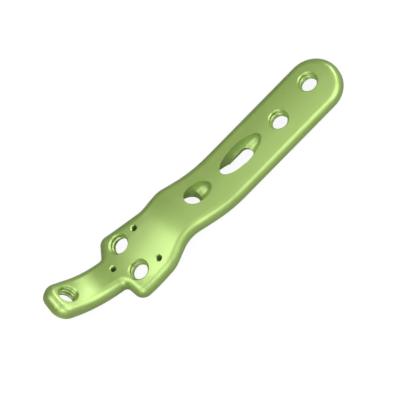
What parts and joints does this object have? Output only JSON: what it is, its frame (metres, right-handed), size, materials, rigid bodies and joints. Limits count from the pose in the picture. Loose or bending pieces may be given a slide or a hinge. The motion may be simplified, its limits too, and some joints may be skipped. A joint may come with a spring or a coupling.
{
  "type": "orthopedic bone plate",
  "caption": "Contoured bone plate: a flat shaft runs over a raised neck into a wider head whose arm turns upward, with threaded locking holes, wire holes and oblong compression holes.",
  "frame": {"origin": "on the shaft's centre line at the bone-side face, under the middle of the compression slot", "axes": "+X along the shaft towards its round end, +Y across the plate towards the side its arm leaves from, +Z out of the outer face"},
  "size_m": [0.105, 0.0229, 0.0122],
  "materials": {
    "green_metal": "satin"
  },
  "bodies": {
    "root": {"bone_plate": "green_metal"}
  },
  "joints": []
}
